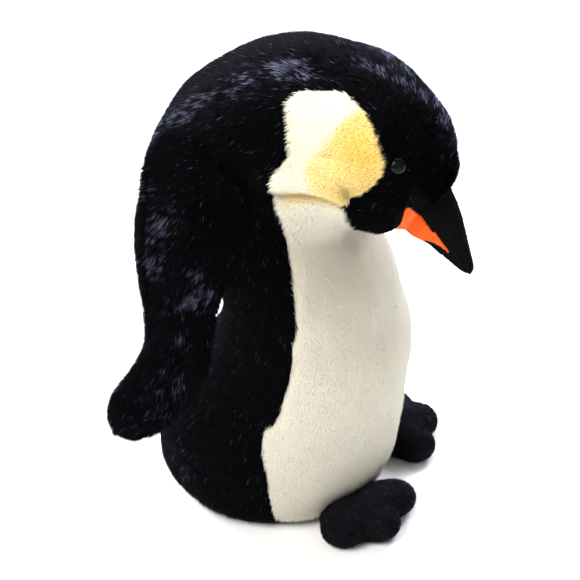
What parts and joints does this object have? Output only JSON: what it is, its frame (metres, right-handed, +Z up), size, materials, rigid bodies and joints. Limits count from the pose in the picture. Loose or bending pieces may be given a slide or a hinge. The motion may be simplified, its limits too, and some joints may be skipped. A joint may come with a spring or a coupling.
{
  "type": "plush penguin",
  "caption": "Sitting plush penguin with a bowed head, a long beak, two hanging flippers, lobed feet and a flat pellet-filled base.",
  "frame": {"origin": "middle of the flat base panel, on the surface that the toy stands on", "axes": "+Z up, the penguin faces -Y, its own right side is at -X"},
  "size_m": [0.2868, 0.2572, 0.3898],
  "materials": {
    "navy_plush": "near-black navy cut pile about 8 mm long, brushed, with a soft sheen",
    "ivory_plush": "warm white cut pile about 6 mm long",
    "gold_plush": "cream-white cut pile shaded to yellow",
    "black_velour": "short black velour",
    "orange_felt": "matt orange felt",
    "eye_plastic": "polished black plastic",
    "washer_plastic": "natural white plastic",
    "fibre_fill": "loose white polyester fibre",
    "pellet_bag": "thin woven bag of plastic pellets"
  },
  "bodies": {
    "torso": {"back_panel_left": "navy_plush", "back_panel_right": "navy_plush", "belly_panel": "ivory_plush", "base_panel": "navy_plush", "pellet_bag": "pellet_bag", "body_stuffing": "fibre_fill"},
    "head": {"crown_gusset": "navy_plush", "throat_gusset": "navy_plush", "head_side_left": "navy_plush", "head_side_right": "navy_plush", "cheek_patch_left": "gold_plush", "cheek_patch_right": "gold_plush", "head_stuffing": "fibre_fill", "eye_left": "eye_plastic", "eye_right": "eye_plastic", "eye_washer_left": "washer_plastic", "eye_washer_right": "washer_plastic", "beak_upper": "black_velour", "beak_lower": "black_velour", "beak_stripe_left": "orange_felt", "beak_stripe_right": "orange_felt", "beak_stuffing": "fibre_fill"},
    "flipper_left": {"flipper_outer_left": "navy_plush", "flipper_inner_left": "navy_plush", "flipper_wadding_left": "fibre_fill"},
    "foot_left": {"foot_top_left": "navy_plush", "foot_sole_left": "navy_plush", "foot_stuffing_left": "fibre_fill"},
    "flipper_right": {"flipper_outer_right": "navy_plush", "flipper_inner_right": "navy_plush", "flipper_wadding_right": "fibre_fill"},
    "foot_right": {"foot_top_right": "navy_plush", "foot_sole_right": "navy_plush", "foot_stuffing_right": "fibre_fill"}
  },
  "joints": [
    {"name": "head_nod", "type": "hinge", "parent": "torso", "child": "head", "pos_m": [0, -0.006, 0.306], "axis": [1, 0, 0], "range_deg": [-9, 9], "stiffness_Nm_per_rad": 4},
    {"name": "flipper_swing_left", "type": "hinge", "parent": "torso", "child": "flipper_left", "pos_m": [0.089, 0.0286, 0.276], "axis": [0.0903, -0.0418, -0.995], "range_deg": [-8, 55], "stiffness_Nm_per_rad": 0.3},
    {"name": "flipper_swing_right", "type": "hinge", "parent": "torso", "child": "flipper_right", "pos_m": [-0.089, 0.0286, 0.276], "axis": [0.0903, 0.0418, 0.995], "range_deg": [-8, 55], "stiffness_Nm_per_rad": 0.3},
    {"name": "foot_flex_left", "type": "hinge", "parent": "torso", "child": "foot_left", "pos_m": [0.057, -0.08, 0.033], "axis": [-1, 0, 0], "range_deg": [0, 15], "stiffness_Nm_per_rad": 0.3},
    {"name": "foot_flex_right", "type": "hinge", "parent": "torso", "child": "foot_right", "pos_m": [-0.057, -0.08, 0.033], "axis": [-1, 0, 0], "range_deg": [0, 15], "stiffness_Nm_per_rad": 0.3}
  ]
}
